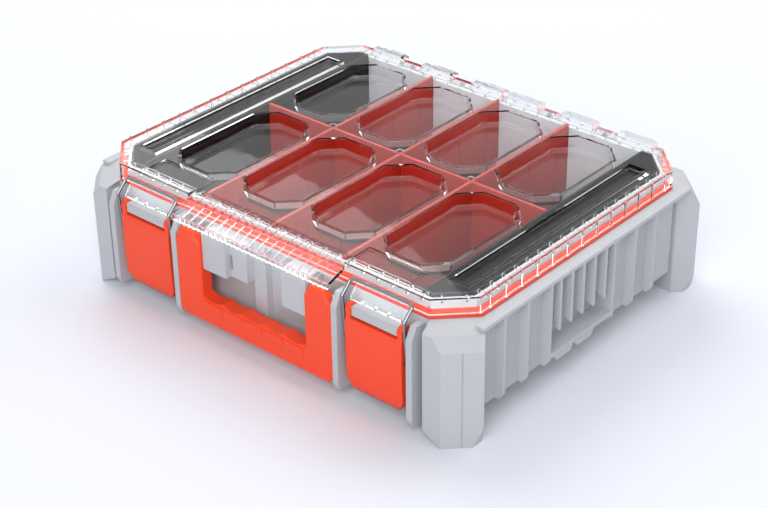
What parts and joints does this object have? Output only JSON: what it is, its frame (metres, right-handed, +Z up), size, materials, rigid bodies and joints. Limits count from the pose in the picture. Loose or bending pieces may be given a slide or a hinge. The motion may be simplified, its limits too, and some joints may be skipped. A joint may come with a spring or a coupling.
{
  "type": "compartment organizer",
  "caption": "Portable parts case with a light grey ribbed tub, clear hinged lid, divided cells, side trays, wire-bail latches and a fold-down front handle.",
  "frame": {"origin": "centre of the overall box on the surface that the feet stand on", "axes": "+X to the right along the front, front faces -Y, +Z up"},
  "size_m": [0.44, 0.353, 0.1225],
  "materials": {
    "grey_shell": "fine moulded texture",
    "clear_lid": "clear polished",
    "red_seal": "satin elastomer",
    "red_divider": "moulded satin",
    "black_tray": "moulded satin",
    "orange_lever": "moulded satin",
    "orange_handle": "moulded satin",
    "plated_wire": "bright plated",
    "steel_pin": "drawn"
  },
  "bodies": {
    "base": {"base_tub": "grey_shell", "lid_seal": "red_seal", "divider_long": "red_divider", "divider_cross_1": "red_divider", "divider_cross_2": "red_divider", "divider_cross_3": "red_divider", "tray_left": "black_tray", "tray_right": "black_tray", "hinge_pin_left": "steel_pin", "hinge_pin_right": "steel_pin", "latch_pin_left": "steel_pin", "latch_pin_right": "steel_pin", "handle_pin_left": "steel_pin", "handle_pin_right": "steel_pin"},
    "lid": {"lid": "clear_lid"},
    "latch_left": {"latch_left": "orange_lever"},
    "latch_right": {"latch_right": "orange_lever"},
    "bail_left": {"bail_left": "plated_wire"},
    "bail_right": {"bail_right": "plated_wire"},
    "handle": {"handle": "orange_handle"}
  },
  "joints": [
    {"name": "lid_hinge", "type": "hinge", "parent": "base", "child": "lid", "pos_m": [0, 0.1705, 0.1071], "axis": [-1, 0, 0], "range_deg": [0, 105]},
    {"name": "handle_fold", "type": "hinge", "parent": "base", "child": "handle", "pos_m": [0, -0.166, 0.092], "axis": [-1, 0, 0], "range_deg": [0, 90]},
    {"name": "latch_left_pivot", "type": "hinge", "parent": "base", "child": "latch_left", "pos_m": [-0.1294, -0.165, 0.09], "axis": [-1, 0, 0], "range_deg": [0, 110]},
    {"name": "bail_left_pivot", "type": "hinge", "parent": "latch_left", "child": "bail_left", "pos_m": [-0.1294, -0.167, 0.062], "axis": [-1, 0, 0], "range_deg": [-125, 0]},
    {"name": "latch_right_pivot", "type": "hinge", "parent": "base", "child": "latch_right", "pos_m": [0.1294, -0.165, 0.09], "axis": [-1, 0, 0], "range_deg": [0, 110]},
    {"name": "bail_right_pivot", "type": "hinge", "parent": "latch_right", "child": "bail_right", "pos_m": [0.1294, -0.167, 0.062], "axis": [-1, 0, 0], "range_deg": [-125, 0]}
  ],
  "couplings": [
    {"joint": "latch_left_pivot", "follows": "lid_hinge", "ratio": 1.04},
    {"joint": "bail_left_pivot", "follows": "lid_hinge", "ratio": -1.16},
    {"joint": "latch_right_pivot", "follows": "lid_hinge", "ratio": 1.04},
    {"joint": "bail_right_pivot", "follows": "lid_hinge", "ratio": -1.16}
  ]
}
